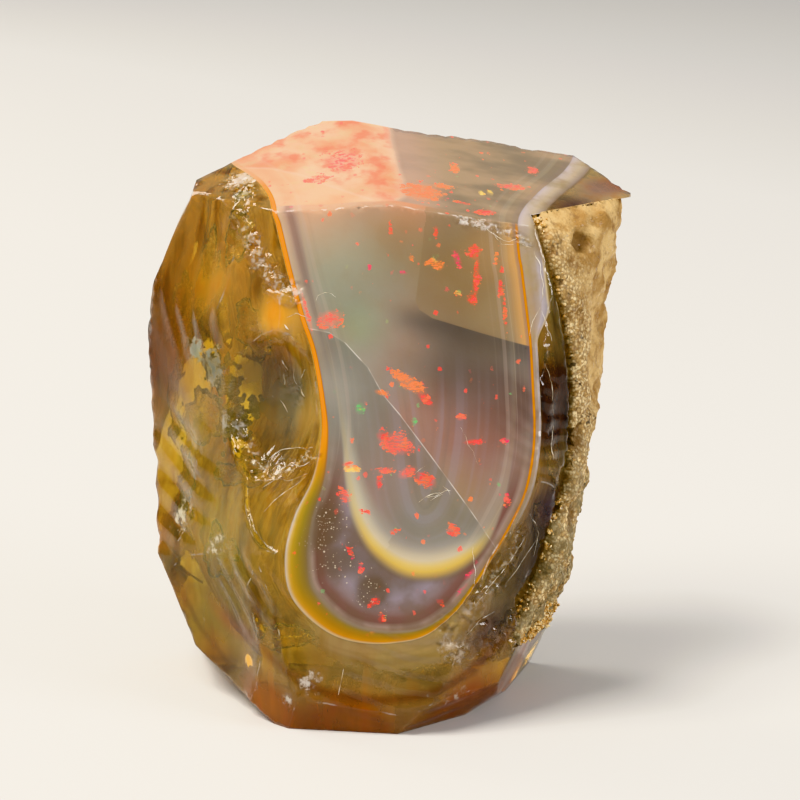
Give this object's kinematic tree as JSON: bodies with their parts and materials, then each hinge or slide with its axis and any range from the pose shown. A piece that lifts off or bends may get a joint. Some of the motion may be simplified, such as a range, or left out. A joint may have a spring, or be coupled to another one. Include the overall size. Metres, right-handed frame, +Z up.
{
  "type": "precious opal specimen",
  "caption": "Broken, upright nodule of clear amber opal with a milky, banded precious heart and a crust of sandy host rock down one side.",
  "frame": {"origin": "under the middle of the stone's box, on the surface that it stands on", "axes": "+Z up along the stone, -Y out of its broken front face, +X towards its host rock crust"},
  "size_m": [0.0212, 0.0144, 0.0241],
  "materials": {
    "opal": "glassy amber and milky precious opal with yellow and orange growth bands and flecks of red fire",
    "host_rock": "tan, sandy rock with dark specks"
  },
  "bodies": {
    "root": {"opal": "opal", "host_rock_crust": "host_rock"}
  },
  "joints": []
}
